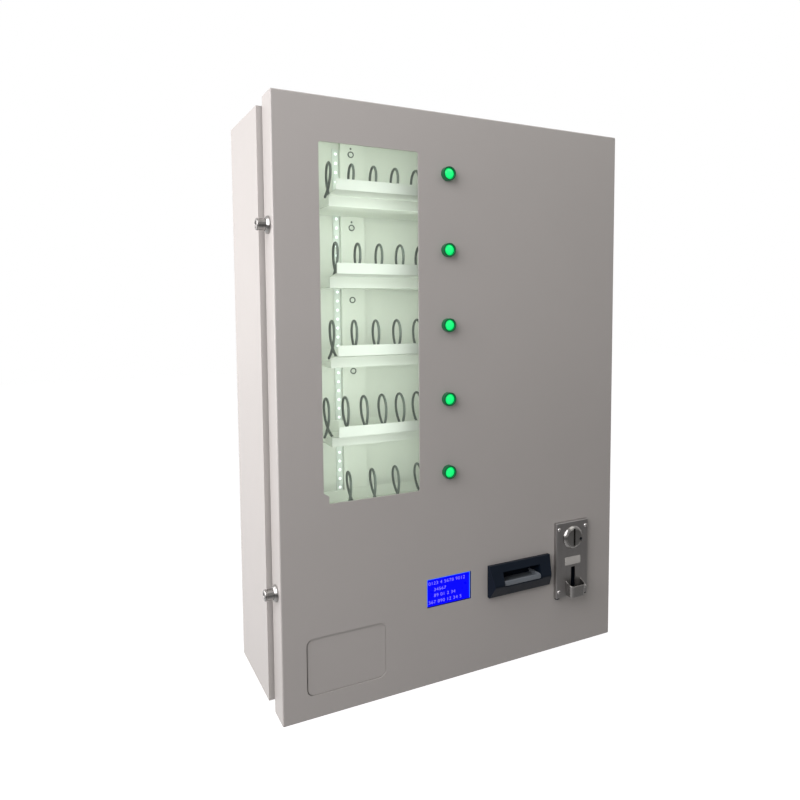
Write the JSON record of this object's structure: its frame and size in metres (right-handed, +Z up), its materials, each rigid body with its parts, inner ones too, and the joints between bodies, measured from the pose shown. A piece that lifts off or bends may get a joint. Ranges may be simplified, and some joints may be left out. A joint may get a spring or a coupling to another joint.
{
  "type": "sticker vending machine",
  "caption": "Wall-held sticker vending machine: shallow cabinet with wound coil shelves behind a hinged door with window, lit buttons, display, bill and coin slots and a pick-up flap.",
  "frame": {"origin": "centre of the cabinet's back face, where it lies on the wall", "axes": "+Z up, +Y back into the wall, +X to the right of someone who faces the door"},
  "size_m": [0.573, 0.2241, 0.82],
  "materials": {
    "door_paint": "gloss",
    "inner_paint": "satin",
    "steel": "brushed",
    "zinc": "zinc plated",
    "chrome": "polished",
    "wire": "satin",
    "green_lens": "lit, gloss",
    "dark_green": "gloss",
    "blue_screen": "lit, gloss",
    "black_plastic": "satin",
    "grey_plastic": "matt",
    "lamp_white": "lit",
    "clear_pane": "clear",
    "board_green": "satin"
  },
  "bodies": {
    "cabinet": {"cabinet_shell": "door_paint", "rear_rail": "inner_paint", "lamp_strip": "lamp_white", "motor_partition": "inner_paint", "shelf_1": "inner_paint", "shelf_2": "inner_paint", "shelf_3": "inner_paint", "shelf_4": "inner_paint", "shelf_5": "inner_paint", "gear_motor_1": "zinc", "gear_motor_2": "zinc", "gear_motor_3": "zinc", "gear_motor_4": "zinc", "gear_motor_5": "zinc", "delivery_bin": "inner_paint", "cash_box": "zinc", "control_board": "board_green", "power_supply": "zinc", "cable_gland": "black_plastic", "lock_strike_1": "steel", "lock_strike_2": "steel", "hinge_bracket_1": "steel", "hinge_bracket_2": "steel"},
    "door": {"door_shell": "door_paint", "window_pane": "clear_pane", "window_frame": "black_plastic", "button_ring_1": "dark_green", "button_ring_2": "dark_green", "button_ring_3": "dark_green", "button_ring_4": "dark_green", "button_ring_5": "dark_green", "display_module": "blue_screen", "bill_bezel": "black_plastic", "bill_tongue": "grey_plastic", "bill_validator": "black_plastic", "coin_plate": "steel", "coin_knob": "chrome", "coin_return_cup": "chrome", "coin_mechanism": "black_plastic", "lock_collar_1": "chrome", "lock_collar_2": "chrome"},
    "flap": {"pickup_flap": "door_paint"},
    "coin_return": {"coin_return_button": "black_plastic"},
    "button_1": {"button_cap_1": "green_lens"},
    "button_2": {"button_cap_2": "green_lens"},
    "button_3": {"button_cap_3": "green_lens"},
    "button_4": {"button_cap_4": "green_lens"},
    "button_5": {"button_cap_5": "green_lens"},
    "coil_row_1": {"coil_1": "wire", "coil_hub_1": "black_plastic"},
    "coil_row_2": {"coil_2": "wire", "coil_hub_2": "black_plastic"},
    "coil_row_3": {"coil_3": "wire", "coil_hub_3": "black_plastic"},
    "coil_row_4": {"coil_4": "wire", "coil_hub_4": "black_plastic"},
    "coil_row_5": {"coil_5": "wire", "coil_hub_5": "black_plastic"},
    "lock_1": {"lock_plunger_1": "chrome"},
    "lock_2": {"lock_plunger_2": "chrome"}
  },
  "joints": [
    {"name": "door_swing", "type": "hinge", "parent": "cabinet", "child": "door", "pos_m": [0.268, -0.167, 0], "axis": [0, 0, 1], "range_deg": [0, 105]},
    {"name": "pickup_flap_swing", "type": "hinge", "parent": "door", "child": "flap", "pos_m": [-0.1855, -0.19585, -0.2935], "axis": [1, 0, 0], "range_deg": [0, 70]},
    {"name": "coin_return_press", "type": "slide", "parent": "door", "child": "coin_return", "axis": [0, 1, 0], "range_m": [0, 0.003], "stiffness_N_per_m": 150, "springref_m": -0.001},
    {"name": "button_1_press", "type": "slide", "parent": "door", "child": "button_1", "axis": [0, 1, 0], "range_m": [0, 0.003], "stiffness_N_per_m": 250, "springref_m": -0.001},
    {"name": "button_2_press", "type": "slide", "parent": "door", "child": "button_2", "axis": [0, 1, 0], "range_m": [0, 0.003], "stiffness_N_per_m": 250, "springref_m": -0.001},
    {"name": "button_3_press", "type": "slide", "parent": "door", "child": "button_3", "axis": [0, 1, 0], "range_m": [0, 0.003], "stiffness_N_per_m": 250, "springref_m": -0.001},
    {"name": "button_4_press", "type": "slide", "parent": "door", "child": "button_4", "axis": [0, 1, 0], "range_m": [0, 0.003], "stiffness_N_per_m": 250, "springref_m": -0.001},
    {"name": "button_5_press", "type": "slide", "parent": "door", "child": "button_5", "axis": [0, 1, 0], "range_m": [0, 0.003], "stiffness_N_per_m": 250, "springref_m": -0.001},
    {"name": "coil_1_turn", "type": "hinge", "parent": "cabinet", "child": "coil_row_1", "pos_m": [0.1, -0.088, 0.3137], "axis": [1, 0, 0], "continuous": true},
    {"name": "coil_2_turn", "type": "hinge", "parent": "cabinet", "child": "coil_row_2", "pos_m": [0.1, -0.088, 0.1997], "axis": [1, 0, 0], "continuous": true},
    {"name": "coil_3_turn", "type": "hinge", "parent": "cabinet", "child": "coil_row_3", "pos_m": [0.1, -0.088, 0.0857], "axis": [1, 0, 0], "continuous": true},
    {"name": "coil_4_turn", "type": "hinge", "parent": "cabinet", "child": "coil_row_4", "pos_m": [0.1, -0.088, -0.0283], "axis": [1, 0, 0], "continuous": true},
    {"name": "coil_5_turn", "type": "hinge", "parent": "cabinet", "child": "coil_row_5", "pos_m": [0.1, -0.088, -0.1423], "axis": [1, 0, 0], "continuous": true},
    {"name": "lock_1_push", "type": "slide", "parent": "door", "child": "lock_1", "axis": [1, 0, 0], "range_m": [0, 0.0079], "stiffness_N_per_m": 200, "springref_m": -0.002},
    {"name": "lock_2_push", "type": "slide", "parent": "door", "child": "lock_2", "axis": [1, 0, 0], "range_m": [0, 0.0079], "stiffness_N_per_m": 200, "springref_m": -0.002}
  ]
}
